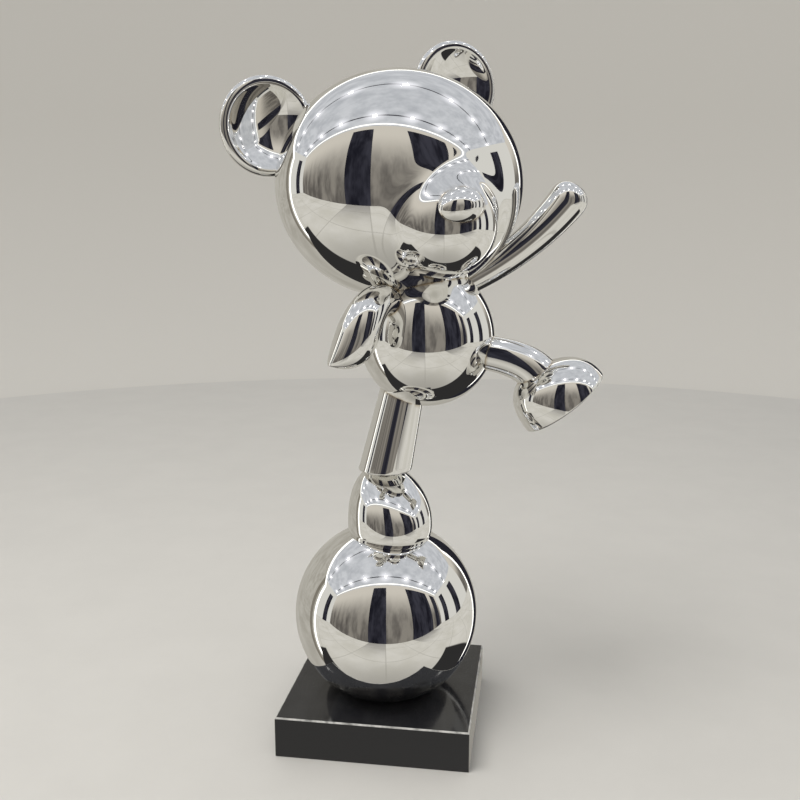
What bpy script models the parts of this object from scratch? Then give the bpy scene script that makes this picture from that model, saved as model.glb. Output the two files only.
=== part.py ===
"""Teddy bear sculpture: a mirror-bright cast bear dancing on one leg on a ball, on a square black plinth.

Metres, +Z up. The origin is the centre of the plinth's underside. At a turn of zero the bear would face -Y.
The bear's pose and proportions are shares of its own height, measured from the top of the ball.
"""

import math

import bmesh
import bpy
import numpy as np
from mathutils import Matrix, Vector

# Ball
BALL_RADIUS = 0.0985
BALL_FLAT_RADIUS = 0.0555

# Plinth: a square block that reaches just past the ball on every side
PLINTH_MARGIN = 0.0015
PLINTH_HEIGHT = 0.0435
PLINTH_CHAMFER = 0.0014

# Clearance between pieces that touch
SEAT_GAP = 0.0003

# Bear
BEAR_HEIGHT = 0.500
BEAR_TURN = math.radians(38)

# Head, in its own axes: X to the bear's left, -Y forward, Z up
HEAD_CENTRE = (0.0305, -0.0165, 0.7090)
HEAD_TURN = math.radians(-4)
HEAD_TILT = math.radians(-12.4)
SKULL_LEAN = math.radians(12)
SKULL_RADII = (0.260, 0.185, 0.225)
MUZZLE_CENTRE = (0, -0.152, -0.077)
MUZZLE_RADII = (0.100, 0.096, 0.100)
MUZZLE_BLEND = 0.045
NOSE_CENTRE = (0, -0.224, -0.042)
NOSE_RADII = (0.047, 0.036, 0.035)
DIMPLE_DIRECTION = (0.41, -0.75, -0.52)
DIMPLE_RADIUS = 0.017
DIMPLE_DEPTH = 0.007

# Ears, in the head's axes: a dish inside a round rim, domed behind
EAR_CENTRE = (0.2145, 0.105, 0.164)
EAR_RADIUS = 0.097
EAR_RIM = 0.011
EAR_DISH_DEPTH = 0.020
EAR_BACK_DEPTH = 0.046

# Torso
TORSO_CENTRE = (0.0750, -0.040, 0.412)
TORSO_TILT = math.radians(-10)
TORSO_RADII = (0.141, 0.134, 0.151)
TORSO_TAPER = 0.06

# Arms: the three points that steer each curve, from shoulder to middle of the hand
RAISED_ARM = ((0.150, -0.020, 0.496), (0.291, -0.074, 0.566), (0.367, -0.118, 0.678))
LOWERED_ARM = ((0.000, -0.045, 0.468), (-0.097, -0.138, 0.526), (-0.131, -0.133, 0.435))
SHOULDER_RADIUS = 0.025
HAND_SQUARENESS = 2.4
RAISED_HAND_RADIUS = 0.041
RAISED_HAND_CAP = 0.040
LOWERED_HAND_RADIUS = 0.0412
LOWERED_HAND_CAP = 0.0751
LOWERED_TIP_SHIFT = 0.0367

# Standing leg
STANDING_HIP = (0.040, -0.020, 0.340)
STANDING_ANKLE = (0.000, 0.003, 0.121)
STANDING_HIP_RADIUS = 0.0445
STANDING_ANKLE_RADIUS = 0.0565

# Kicking leg: the three points that steer its curve, from hip to the top of the foot
KICKING_LEG = ((0.115, -0.080, 0.380), (0.218, -0.166, 0.378), (0.251, -0.186, 0.333))
KICKING_HIP_RADIUS = 0.033
KICKING_ANKLE_RADIUS = 0.042

# Feet: an oval plan under a domed crown
FOOT_HALF_LENGTH = 0.096
FOOT_HALF_WIDTH = 0.088
STANDING_FOOT_CROWN = 0.114
STANDING_SOLE_INSET = 0.22
KICKING_FOOT_CROWN = 0.090
KICKING_SOLE_INSET = 0.045
FOOT_SQUARENESS = 2.35
SOLE_EDGE = 0.004
STANDING_FOOT_CENTRE = (0.003, -0.012, 0.004)
STANDING_HEEL_LIFT = 0.42
KICKING_SOLE_CENTRE = (0.3010, -0.2156, 0.274)
KICKING_HEEL_LIFT = 0.16
KICKING_SOLE_PITCH = math.radians(38.6)
KICKING_SOLE_TURN = math.radians(60.6)

# Facet counts
HEAD_FACETS = (40, 26)
TORSO_FACETS = (36, 20)
LIMB_SIDES = 22
FOOT_SIDES = 32
EAR_SIDES = 28
BALL_FACETS = (40, 18)

# Values that follow from the sizes above
PLINTH_SIDE = 2 * (BALL_RADIUS + PLINTH_MARGIN)
PLINTH_TOP = PLINTH_HEIGHT
BALL_BASE = PLINTH_TOP + SEAT_GAP
BALL_CENTRE = BALL_BASE + math.sqrt(BALL_RADIUS ** 2 - BALL_FLAT_RADIUS ** 2)
BALL_TOP = BALL_CENTRE + BALL_RADIUS


def clear_scene():
    for old in list(bpy.data.objects):
        bpy.data.objects.remove(old, do_unlink=True)


def material(name, colour, roughness, metallic, coat=0.0):
    made = bpy.data.materials.new(name)
    made.use_nodes = True
    shader = made.node_tree.nodes["Principled BSDF"]
    shader.inputs["Base Color"].default_value = (*colour, 1)
    shader.inputs["Roughness"].default_value = roughness
    shader.inputs["Metallic"].default_value = metallic
    shader.inputs["Coat Weight"].default_value = coat
    return made


def sized(shares):
    """A point or a set of radii in metres, from shares of the bear's height."""
    return Vector(shares) * BEAR_HEIGHT


def new_object(name, bm):
    """A smooth shaded object from a bmesh, with crisp edges where faces meet at an angle."""
    bmesh.ops.recalc_face_normals(bm, faces=bm.faces)
    mesh = bpy.data.meshes.new(name)
    bm.to_mesh(mesh)
    bm.free()
    mesh.shade_smooth()
    mesh.set_sharp_from_angle(angle=math.radians(35))
    made = bpy.data.objects.new(name, mesh)
    bpy.context.scene.collection.objects.link(made)
    return made


def as_cutter(tool):
    tool.hide_render = True
    tool.display_type = "WIRE"
    return tool


def combine(target, tool, operation):
    step = target.modifiers.new(f"{operation.lower()} {tool.name}", "BOOLEAN")
    step.operation = operation
    step.solver = "EXACT"
    step.object = as_cutter(tool)


def spun(name, profile, sides, axis):
    """A closed solid of revolution about an axis through the origin, from points (out, along) on its profile."""
    bm = bmesh.new()
    across = Vector((1, 0, 0))
    verts = [bm.verts.new(across * out + Vector(axis) * along) for out, along in profile]
    edges = [bm.edges.new(pair) for pair in zip(verts, verts[1:])]
    bmesh.ops.spin(bm, geom=verts + edges, cent=(0, 0, 0), axis=axis, angle=math.tau, steps=sides, use_merge=True)
    bmesh.ops.remove_doubles(bm, verts=bm.verts, dist=1e-6)
    return new_object(name, bm)


def arc(centre, radius, start, end, steps):
    """Points along a circle's arc, both ends included."""
    angles = [start + (end - start) * step / steps for step in range(steps + 1)]
    return [(centre[0] + radius * math.cos(a), centre[1] + radius * math.sin(a)) for a in angles]


def ellipsoid_depth(points, centre, radii):
    """Signed distance to an ellipsoid, exact on its surface and negative inside."""
    scaled = (points - np.array(centre)) / np.array(radii)
    nearness = np.linalg.norm(scaled, axis=1)
    slope = np.linalg.norm(scaled / np.array(radii), axis=1)
    return nearness * (nearness - 1) / np.maximum(slope, 1e-9)


def blended(one, other, width):
    """The nearer of two distances, with a smooth fillet of the given width where they meet."""
    overlap = np.maximum(width - np.abs(one - other), 0) / width
    return np.minimum(one, other) - overlap ** 3 * width / 6


def head_depth(points):
    """Signed distance to the skull blended into the muzzle, in the head's own axes."""
    upright = np.array(Matrix.Rotation(SKULL_LEAN, 3, "Y"))
    skull = ellipsoid_depth(points @ upright, (0, 0, 0), sized(SKULL_RADII))
    muzzle = ellipsoid_depth(points, sized(MUZZLE_CENTRE), sized(MUZZLE_RADII))
    return blended(skull, muzzle, MUZZLE_BLEND * BEAR_HEIGHT)


def reach_to_surface(directions, depth):
    """How far each direction runs from the origin before it leaves the form."""
    inside = np.zeros(len(directions))
    outside = np.full(len(directions), BEAR_HEIGHT)
    for _ in range(40):
        middle = (inside + outside) / 2
        within = depth(directions * middle[:, None]) < 0
        inside = np.where(within, middle, inside)
        outside = np.where(within, outside, middle)
    return inside


def head_axes():
    turn = Matrix.Rotation(HEAD_TURN, 4, "Z") @ Matrix.Rotation(HEAD_TILT, 4, "Y")
    return Matrix.Translation(sized(HEAD_CENTRE)) @ turn


def make_head():
    """Skull and muzzle: a sphere with its pole at the nose, each point pushed out to the form."""
    bm = bmesh.new()
    segments, rings = HEAD_FACETS
    bmesh.ops.create_uvsphere(bm, u_segments=segments, v_segments=rings, radius=1)
    pole = Vector(NOSE_CENTRE).normalized().to_track_quat("Z", "X").to_matrix()
    bmesh.ops.rotate(bm, cent=(0, 0, 0), matrix=pole, verts=bm.verts)
    directions = np.array([vert.co.normalized() for vert in bm.verts])
    for vert, direction, reach in zip(bm.verts, directions, reach_to_surface(directions, head_depth)):
        vert.co = Vector(direction) * reach
    bmesh.ops.transform(bm, matrix=head_axes(), verts=bm.verts)
    return new_object("head", bm)


def make_nose():
    bm = bmesh.new()
    bmesh.ops.create_uvsphere(bm, u_segments=20, v_segments=12, radius=1)
    place = Matrix.Translation(sized(NOSE_CENTRE)) @ Matrix.Diagonal((*sized(NOSE_RADII), 1))
    bmesh.ops.transform(bm, matrix=head_axes() @ place, verts=bm.verts)
    return new_object("nose", bm)


def make_dimple(side):
    """Cutter for the shallow round dimple beside the muzzle."""
    direction = Vector((DIMPLE_DIRECTION[0] * side, *DIMPLE_DIRECTION[1:])).normalized()
    reach = reach_to_surface(np.array([direction]), head_depth)[0]
    radius = DIMPLE_RADIUS * BEAR_HEIGHT
    centre = direction * (reach + radius - DIMPLE_DEPTH * BEAR_HEIGHT)
    bm = bmesh.new()
    bmesh.ops.create_uvsphere(bm, u_segments=16, v_segments=10, radius=radius)
    bmesh.ops.transform(bm, matrix=head_axes() @ Matrix.Translation(centre), verts=bm.verts)
    return new_object(f"dimple_{'left' if side > 0 else 'right'}", bm)


def ear_profile():
    """Points (out, back) from the middle of the dish round the rim to the middle of the back."""
    radius, rim = EAR_RADIUS * BEAR_HEIGHT, EAR_RIM * BEAR_HEIGHT
    dish, back = EAR_DISH_DEPTH * BEAR_HEIGHT, EAR_BACK_DEPTH * BEAR_HEIGHT
    rim_out = radius - rim
    dish_radius = (rim_out ** 2 + dish ** 2 - rim ** 2) / (2 * (dish + rim))
    back_radius = (rim_out ** 2 + back ** 2 - rim ** 2) / (2 * (back - rim))
    dish_edge = math.atan2(dish_radius - dish, rim_out)
    back_edge = math.atan2(back_radius - back, rim_out)
    front = arc((0, dish - dish_radius), dish_radius, math.pi / 2, dish_edge, 4)
    round_rim = arc((rim_out, 0), rim, dish_edge - math.pi, back_edge, 7)
    behind = arc((0, back - back_radius), back_radius, back_edge, math.pi / 2, 4)
    return front[:-1] + round_rim + behind[1:]


def make_ear(side):
    ear = spun(f"ear_{'left' if side > 0 else 'right'}", ear_profile(), EAR_SIDES, (0, 1, 0))
    centre = sized((EAR_CENTRE[0] * side, *EAR_CENTRE[1:]))
    ear.data.transform(head_axes() @ Matrix.Translation(centre))
    return ear


def make_torso():
    """Egg shaped body, a little narrower towards the neck."""
    bm = bmesh.new()
    segments, rings = TORSO_FACETS
    bmesh.ops.create_uvsphere(bm, u_segments=segments, v_segments=rings, radius=1)
    for vert in bm.verts:
        narrowing = 1 - TORSO_TAPER * vert.co.z
        vert.co.x *= narrowing
        vert.co.y *= narrowing
    place = Matrix.Translation(sized(TORSO_CENTRE)) @ Matrix.Rotation(TORSO_TILT, 4, "Y")
    bmesh.ops.transform(bm, matrix=place @ Matrix.Diagonal((*sized(TORSO_RADII), 1)), verts=bm.verts)
    return new_object("bear", bm)


def curve_point(steer, t):
    """Point and direction on the curve that three points steer, in metres."""
    start, middle, end = (sized(point) for point in steer)
    point = start * (1 - t) ** 2 + middle * 2 * t * (1 - t) + end * t ** 2
    direction = (middle - start) * (1 - t) + (end - middle) * t
    return point, direction.normalized()


def ring_place(point, direction, half_width, half_depth):
    """Placement of a unit circle as an oval ring square to a direction."""
    across = Vector((0, 1, 0)).cross(direction).normalized()
    other = direction.cross(across)
    turn = Matrix((across, other, direction)).transposed().to_4x4()
    return Matrix.Translation(point) @ turn @ Matrix.Diagonal((half_width, half_depth, 1, 1))


def skinned(name, places, sides, tip=None):
    """Closed tube through rings, each a placed unit circle. It ends flat, or in a tip."""
    bm = bmesh.new()
    ring = bmesh.ops.create_circle(bm, cap_ends=True, radius=1, segments=sides)["verts"]
    bmesh.ops.transform(bm, matrix=places[0], verts=ring)
    for before, place in zip(places, places[1:]):
        loop = [edge for edge in bm.edges if edge.verts[0] in ring and edge.verts[1] in ring]
        grown = bmesh.ops.extrude_edge_only(bm, edges=loop)["geom"]
        ring = {part for part in grown if isinstance(part, bmesh.types.BMVert)}
        bmesh.ops.transform(bm, matrix=place @ before.inverted(), verts=list(ring))
    if tip is None:
        loop = [edge for edge in bm.edges if edge.verts[0] in ring and edge.verts[1] in ring]
        bmesh.ops.contextual_create(bm, geom=loop)
    else:
        bmesh.ops.pointmerge(bm, verts=list(ring), merge_co=tip)
    return new_object(name, bm)


def make_arm(name, steer, hand, cap, tip_shift):
    """Arm that swells from the shoulder to a rounded hand, whose tip may lie off to one side."""
    shoulder, hand, cap, tip_shift = (share * BEAR_HEIGHT for share in (SHOULDER_RADIUS, hand, cap, tip_shift))
    places = []
    for step in range(9):
        t = step / 8
        point, direction = curve_point(steer, t)
        radius = shoulder + (hand - shoulder) * t
        places.append(ring_place(point, direction, radius, radius))
    aside = Vector((0, 1, 0)).cross(direction).normalized() * tip_shift
    for step in range(1, 7):
        slant = math.pi / 2 * step / 6
        ahead = math.sin(slant) ** (2 / HAND_SQUARENESS)
        shrink = max(math.cos(slant), 0.001) ** (2 / HAND_SQUARENESS)
        centre = point + direction * cap * ahead + aside * (1 - shrink)
        places.append(ring_place(centre, direction, hand * shrink, hand * shrink))
    return skinned(name, places, LIMB_SIDES, tip=point + direction * cap + aside)


def make_standing_leg():
    """Straight leaning leg, cut off level where it stands on the foot."""
    places = [ring_place(sized(point), Vector((0, 0, -1)), radius * BEAR_HEIGHT, radius * BEAR_HEIGHT)
              for point, radius in ((STANDING_HIP, STANDING_HIP_RADIUS), (STANDING_ANKLE, STANDING_ANKLE_RADIUS))]
    return skinned("standing_leg", places, LIMB_SIDES)


def make_kicking_leg():
    places = []
    for step in range(8):
        t = step / 7
        radius = (KICKING_HIP_RADIUS + (KICKING_ANKLE_RADIUS - KICKING_HIP_RADIUS) * t) * BEAR_HEIGHT
        places.append(ring_place(*curve_point(KICKING_LEG, t), radius, radius))
    return skinned("kicking_leg", places, LIMB_SIDES)


def make_foot(name, crown, wall, inset, heel_lift):
    """Foot with its toe at -Y: a sole at z = 0, a side that rounds out of it, and a crown, higher at the heel."""
    length, width = FOOT_HALF_LENGTH * BEAR_HEIGHT, FOOT_HALF_WIDTH * BEAR_HEIGHT
    crown = crown * BEAR_HEIGHT
    rings = [(1 - inset * (1 - math.sin(a)), wall * (1 - math.cos(a))) for a in (0, math.pi / 4)]
    rings.append((1, wall))
    for step in range(1, 8):
        slant = math.pi / 2 * step / 7
        shrink = max(math.cos(slant), 0.001) ** (2 / FOOT_SQUARENESS)
        rings.append((shrink, wall + crown * math.sin(slant) ** (2 / FOOT_SQUARENESS)))
    places = [Matrix.Translation((0, 0, height)) @ Matrix.Diagonal((width * size, length * size, 1, 1))
              for size, height in rings]
    foot = skinned(name, places, FOOT_SIDES, tip=(0, 0, rings[-1][1]))
    for vert in foot.data.vertices:
        above = max(vert.co.z - wall, 0) / crown
        vert.co.z += heel_lift * vert.co.y * above
    return foot


def make_standing_foot():
    """The foot runs down into the ball's place, and the ball's sphere is cut from it."""
    centre = sized(STANDING_FOOT_CENTRE)
    reach = (FOOT_HALF_LENGTH + max(abs(share) for share in STANDING_FOOT_CENTRE[:2])) * BEAR_HEIGHT
    sole = BALL_RADIUS - math.sqrt(BALL_RADIUS ** 2 - reach ** 2)
    foot = make_foot("standing_foot", STANDING_FOOT_CROWN, sole + centre.z, STANDING_SOLE_INSET,
                     STANDING_HEEL_LIFT)
    foot.data.transform(Matrix.Translation((centre.x, centre.y, -sole)))
    combine(foot, make_ball("ball_seat", BALL_RADIUS + SEAT_GAP), "DIFFERENCE")
    return foot


def make_kicking_foot():
    foot = make_foot("kicking_foot", KICKING_FOOT_CROWN, SOLE_EDGE * BEAR_HEIGHT, KICKING_SOLE_INSET,
                     KICKING_HEEL_LIFT)
    turn = Matrix.Rotation(KICKING_SOLE_TURN, 4, "Z") @ Matrix.Rotation(-KICKING_SOLE_PITCH, 4, "X")
    foot.data.transform(Matrix.Translation(sized(KICKING_SOLE_CENTRE)) @ turn)
    return foot


def ball_profile(radius):
    """Points (out, up) from the middle of the flat underside to the top, about the sphere's centre."""
    flat = -math.asin(math.sqrt(radius ** 2 - BALL_FLAT_RADIUS ** 2) / radius)
    round_side = arc((0, 0), radius, flat, math.pi / 2, BALL_FACETS[1])
    return [(0, round_side[0][1])] + round_side


def make_ball(name, radius):
    ball = spun(name, ball_profile(radius), BALL_FACETS[0], (0, 0, 1))
    ball.location = (0, 0, BALL_CENTRE)
    return ball


def make_bear(chrome):
    """One casting: every limb is united with the torso, and the ball's seat is cut from the foot."""
    bear = make_torso()
    bear.data.materials.append(chrome)
    parts = [make_head(), make_nose(), make_ear(1), make_ear(-1)]
    parts.append(make_arm("raised_arm", RAISED_ARM, RAISED_HAND_RADIUS, RAISED_HAND_CAP, 0))
    parts.append(make_arm("lowered_arm", LOWERED_ARM, LOWERED_HAND_RADIUS, LOWERED_HAND_CAP, LOWERED_TIP_SHIFT))
    parts += [make_standing_leg(), make_kicking_leg(), make_standing_foot(), make_kicking_foot()]
    cutters = [make_dimple(1), make_dimple(-1)]
    pose = bpy.data.objects.new("bear_pose", None)
    bpy.context.scene.collection.objects.link(pose)
    pose.location = (0, 0, BALL_TOP)
    pose.rotation_euler = (0, 0, BEAR_TURN)
    for piece in [bear] + parts + cutters:
        piece.parent = pose
    for part in parts:
        combine(bear, part, "UNION")
    for cutter in cutters:
        combine(bear, cutter, "DIFFERENCE")


def make_plinth(lacquer):
    bm = bmesh.new()
    bmesh.ops.create_cube(bm, size=1)
    place = Matrix.Translation((0, 0, PLINTH_HEIGHT / 2))
    size = Matrix.Diagonal((PLINTH_SIDE, PLINTH_SIDE, PLINTH_HEIGHT, 1))
    bmesh.ops.transform(bm, matrix=place @ size, verts=bm.verts)
    plinth = new_object("plinth", bm)
    plinth.data.materials.append(lacquer)
    chamfer = plinth.modifiers.new("chamfer", "BEVEL")
    chamfer.width = PLINTH_CHAMFER
    chamfer.segments = 1


def build():
    clear_scene()
    chrome = material("mirror_chrome", (0.80, 0.80, 0.79), 0.04, 1.0)
    lacquer = material("black_lacquer", (0.018, 0.018, 0.020), 0.12, 0.0, coat=0.6)
    make_plinth(lacquer)
    make_ball("ball", BALL_RADIUS).data.materials.append(chrome)
    make_bear(chrome)


build()
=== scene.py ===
"""Teddy bear sculpture: a mirror-bright cast bear dances on one leg on a ball, on a black lacquered plinth.

Metres, +Z up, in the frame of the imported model. The bear's forms are shares of its own height, measured
from the top of the ball, as they are in the part's source.
"""

import math

import bmesh
import bpy
import numpy as np
from bpy.props import FloatProperty, FloatVectorProperty, IntProperty, PointerProperty
from bpy.types import Operator, Panel, PropertyGroup
from mathutils import Matrix, Vector
from mathutils.kdtree import KDTree


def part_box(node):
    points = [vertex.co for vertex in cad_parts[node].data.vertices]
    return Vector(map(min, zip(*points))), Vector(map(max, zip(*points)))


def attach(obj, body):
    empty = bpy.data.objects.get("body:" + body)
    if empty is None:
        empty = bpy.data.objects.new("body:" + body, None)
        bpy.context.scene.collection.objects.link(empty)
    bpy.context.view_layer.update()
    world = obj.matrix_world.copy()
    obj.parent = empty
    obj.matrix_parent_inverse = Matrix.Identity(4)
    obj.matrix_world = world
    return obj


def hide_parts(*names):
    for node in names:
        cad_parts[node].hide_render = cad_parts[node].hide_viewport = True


bl_info = {
    "name": "Teddy bear sculpture",
    "version": (1, 0, 0),
    "blender": (4, 5, 0),
    "location": "3D Viewport > Sidebar > Sculpture",
    "description": "Builds a mirror-finish teddy bear on a ball and a black plinth, with a studio round it",
    "category": "Add Mesh",
}

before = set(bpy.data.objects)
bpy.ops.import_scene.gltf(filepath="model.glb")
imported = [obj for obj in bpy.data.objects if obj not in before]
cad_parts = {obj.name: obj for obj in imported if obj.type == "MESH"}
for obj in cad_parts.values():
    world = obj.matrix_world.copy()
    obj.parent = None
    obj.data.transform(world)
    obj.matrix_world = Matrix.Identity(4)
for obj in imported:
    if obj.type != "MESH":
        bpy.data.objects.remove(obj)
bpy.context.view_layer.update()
PLINTH_LOW, PLINTH_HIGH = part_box("plinth")
BALL_LOW, BALL_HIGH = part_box("ball")

# Head, in its own axes: X to the bear's left, -Y forward, Z up
HEAD_CENTRE = (0.0305, -0.0165, 0.7090)
HEAD_TURN = math.radians(-4)
HEAD_TILT = math.radians(-12.4)
SKULL_LEAN = math.radians(12)
SKULL_RADII = (0.260, 0.185, 0.225)
MUZZLE_CENTRE = (0, -0.152, -0.077)
MUZZLE_RADII = (0.100, 0.096, 0.100)
MUZZLE_BLEND = 0.045
NOSE_CENTRE = (0, -0.224, -0.042)
NOSE_RADII = (0.047, 0.036, 0.035)
DIMPLE_DIRECTION = (0.41, -0.75, -0.52)
DIMPLE_RADIUS = 0.017
DIMPLE_DEPTH = 0.007

# Ears, in the head's axes
EAR_CENTRE = (0.2145, 0.105, 0.164)
EAR_RADIUS = 0.097
EAR_RIM = 0.011
EAR_DISH_DEPTH = 0.020
EAR_BACK_DEPTH = 0.046

# Torso
TORSO_CENTRE = (0.0750, -0.040, 0.412)
TORSO_TILT = math.radians(-10)
TORSO_RADII = (0.141, 0.134, 0.151)
TORSO_TAPER = 0.06

# Arms: the three points that steer each curve, from shoulder to middle of the hand
RAISED_ARM = ((0.150, -0.020, 0.496), (0.291, -0.074, 0.566), (0.367, -0.118, 0.678))
LOWERED_ARM = ((0.000, -0.045, 0.468), (-0.097, -0.138, 0.526), (-0.131, -0.133, 0.435))
SHOULDER_RADIUS = 0.025
HAND_SQUARENESS = 2.4
RAISED_HAND_RADIUS = 0.041
RAISED_HAND_CAP = 0.040
LOWERED_HAND_RADIUS = 0.0412
LOWERED_HAND_CAP = 0.0751
LOWERED_TIP_SHIFT = 0.0367

# Legs
STANDING_HIP = (0.040, -0.020, 0.340)
STANDING_ANKLE = (0.000, 0.003, 0.121)
STANDING_HIP_RADIUS = 0.0445
STANDING_ANKLE_RADIUS = 0.0565
KICKING_LEG = ((0.115, -0.080, 0.380), (0.218, -0.166, 0.378), (0.251, -0.186, 0.333))
KICKING_HIP_RADIUS = 0.033
KICKING_ANKLE_RADIUS = 0.042
ANKLE_EDGE = 0.004

# Feet
FOOT_HALF_LENGTH = 0.096
FOOT_HALF_WIDTH = 0.088
STANDING_FOOT_CROWN = 0.114
STANDING_SOLE_INSET = 0.22
KICKING_FOOT_CROWN = 0.090
KICKING_SOLE_INSET = 0.045
FOOT_SQUARENESS = 2.35
SOLE_EDGE = 0.004
STANDING_FOOT_CENTRE = (0.003, -0.012, 0.004)
STANDING_HEEL_LIFT = 0.42
KICKING_SOLE_CENTRE = (0.3010, -0.2156, 0.274)
KICKING_HEEL_LIFT = 0.16
KICKING_SOLE_PITCH = math.radians(38.6)
KICKING_SOLE_TURN = math.radians(60.6)

# Fineness of the forms
HEAD_FACETS = (240, 150)
NOSE_FACETS = (72, 40)
DIMPLE_FACETS = (48, 24)
TORSO_FACETS = (160, 84)
LIMB_SIDES = 72
FOOT_SIDES = 128
EAR_SIDES = 128
BALL_FACETS = (256, 120)
CREASE_ANGLE = math.radians(18)

# The photograph's viewpoint
CAMERA_PLACE = (0.16274, -0.97800, 0.5594)
CAMERA_SIGHT = (-0.14629, 0.96925, -0.19789)
CAMERA_LENS_MM = 43.48
SENSOR_MM = 36.0

# Room that the chrome reflects, in metres from the world's middle, square to the camera's line of sight
ROOM_RIGHT = Vector((0.98877, 0.14944, 0))
ROOM_AWAY = Vector((-0.14944, 0.98877, 0))
ROOM_SIDE = 4.0
ROOM_FRONT = 1.35
ROOM_BACK = 3.0
ROOM_TOP = 1.8
ROOM_BOTTOM = 0.45
ROOM_SLACK = 0.01
FRONT_LINTEL = 1.60
FRONT_OPENINGS = ((-0.52, 0.02), (0.88, 2.30), (2.77, 3.60))
SIDE_LINTEL = 1.45
SIDE_OPENINGS = ((-0.92, -0.45), (0.5, 1.2))
LAMP_ROWS = (0.55, -0.88)
LAMP_RADIUS = 0.05
SLOT_HALF_WIDTH = 0.024
TILE_SIDE = 0.50
JOINT_HALF_WIDTH = 0.006
NEAR_WALL_TURN = math.radians(22)

# Tones of the room
FAR_WALL_TONE = (0.27, 0.25, 0.22)
FAR_WALL_DARK = (0.12, 0.11, 0.10)
FAR_WALL_PALE = (0.66, 0.62, 0.55)
SIDE_WALL_TONE = (0.72, 0.71, 0.67)
CEILING_TONE = (0.50, 0.52, 0.56)
CEILING_PALE = (0.68, 0.70, 0.74)
GROUND_TONE = (0.62, 0.60, 0.54)
GROUND_PALE = (0.72, 0.70, 0.65)
SHADOW_UNDER_TONE = (0.40, 0.385, 0.35)
JOINT_TONE = (0.30, 0.285, 0.25)
MIRRORED_TONE = (0.12, 0.11, 0.11)
OPENING_TONE = (0.012, 0.012, 0.018)
OPENING_PALE = (0.045, 0.045, 0.06)
COVE_TONE = (1.7, 1.68, 1.6)
SLOT_TONE = (0.06, 0.06, 0.07)
GLOW_TONE = (1.5, 1.5, 1.6)
LAMP_TONE = (14.0, 13.8, 13.4)
SHADED_TONE = (0.03, 0.029, 0.029)
TRIM_TONE = (1.9, 1.88, 1.8)
NEAR_WALL_TONE = (0.40, 0.38, 0.335)
NEAR_WALL_PALE = (0.52, 0.50, 0.45)
NEAR_WALL_BAND = (0.15, 0.13, 0.10)
NEAR_WALL_DARK = (0.02, 0.02, 0.028)
AMBIENT_TONE = (0.92, 0.91, 0.89)


class SculptureSizes(PropertyGroup):
    """Driving sizes of the three pieces."""

    bear_height: FloatProperty(
        name="Bear height", description="From the top of the ball, the measure of every form of the bear",
        default=0.500, min=0.1, unit="LENGTH")
    bear_turn: FloatProperty(
        name="Bear turn", description="How far the bear is turned from facing -Y",
        default=math.radians(38), subtype="ANGLE")
    ball_radius: FloatProperty(
        name="Ball radius", description="Radius of the ball under the foot", default=0.0985, min=0.02,
        unit="LENGTH")
    seat_gap: FloatProperty(
        name="Seat gap", description="Clearance between pieces that touch", default=0.0003, min=0.0,
        unit="LENGTH")
    plinth_side: FloatProperty(
        name="Plinth side", description="Side of the square plinth",
        default=PLINTH_HIGH.x - PLINTH_LOW.x, min=0.05, unit="LENGTH")
    plinth_height: FloatProperty(
        name="Plinth height", description="Thickness of the plinth",
        default=PLINTH_HIGH.z - PLINTH_LOW.z, min=0.01, unit="LENGTH")
    plinth_chamfer: FloatProperty(
        name="Plinth chamfer", description="Width of the bright chamfer along the plinth's top edges",
        default=0.0014, min=0.0002, unit="LENGTH")


class ChromeFinish(PropertyGroup):
    """Mirror plating of the bear and the ball."""

    tint: FloatVectorProperty(
        name="Chrome", description="Colour of the plating", default=(0.86, 0.855, 0.835), subtype="COLOR",
        min=0.0, max=1.0)
    crease_shade_colour: FloatVectorProperty(
        name="Painted crease shade", description="Warm dark tint painted into the creases as shade",
        default=(0.50, 0.40, 0.26), subtype="COLOR", min=0.0, max=1.0)
    roughness: FloatProperty(
        name="Roughness", description="Roughness of the clean plating", default=0.018, min=0.0, max=1.0,
        subtype="FACTOR")
    waviness: FloatProperty(
        name="Waviness", description="Depth of the slow waves that hand polishing leaves", default=0.00030,
        min=0.0, unit="LENGTH")
    crease_reach: FloatProperty(
        name="Crease reach", description="How far a crease's painted shade and dullness reach beside it", default=0.004,
        min=0.0005, unit="LENGTH")


class LacquerFinish(PropertyGroup):
    """Black lacquer of the plinth."""

    colour: FloatVectorProperty(
        name="Lacquer", description="Colour of the lacquer", default=(0.012, 0.012, 0.014), subtype="COLOR",
        min=0.0, max=1.0)
    chamfer_highlight: FloatVectorProperty(
        name="Edge", description="Colour painted on the chamfers as a highlight", default=(0.62, 0.61, 0.58), subtype="COLOR",
        min=0.0, max=1.0)
    roughness: FloatProperty(
        name="Roughness", description="Roughness of the clean lacquer", default=0.08, min=0.0, max=1.0,
        subtype="FACTOR")


class StudioSettings(PropertyGroup):
    """Floor, backdrop and light."""

    floor_colour: FloatVectorProperty(
        name="Floor", description="Colour of the plain floor", default=(0.66, 0.645, 0.61), subtype="COLOR",
        min=0.0, max=1.0)
    wall_colour: FloatVectorProperty(
        name="Backdrop", description="Colour of the plain backdrop", default=(0.72, 0.70, 0.655),
        subtype="COLOR", min=0.0, max=1.0)
    floor_radius: FloatProperty(
        name="Floor radius", description="Radius of the round floor", default=2.6, min=1.0, unit="LENGTH")
    wall_height: FloatProperty(
        name="Backdrop height", description="Height of the backdrop", default=3.0, min=1.0, unit="LENGTH")
    key_power: FloatProperty(
        name="Key power", description="Power of the overhead softbox", default=26.0, min=0.0, unit="POWER")
    ambient: FloatProperty(
        name="Ambient", description="Strength of the soft light from all round", default=0.62, min=0.0)
    room_gain: FloatProperty(
        name="Room brightness", description="Brightness of the room that the chrome reflects", default=1.0,
        min=0.0)
    spots: IntProperty(
        name="Ceiling spots", description="Spots across each row on the ceiling", default=9, min=1)


def sizes():
    return bpy.context.scene.sculpture_sizes


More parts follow.
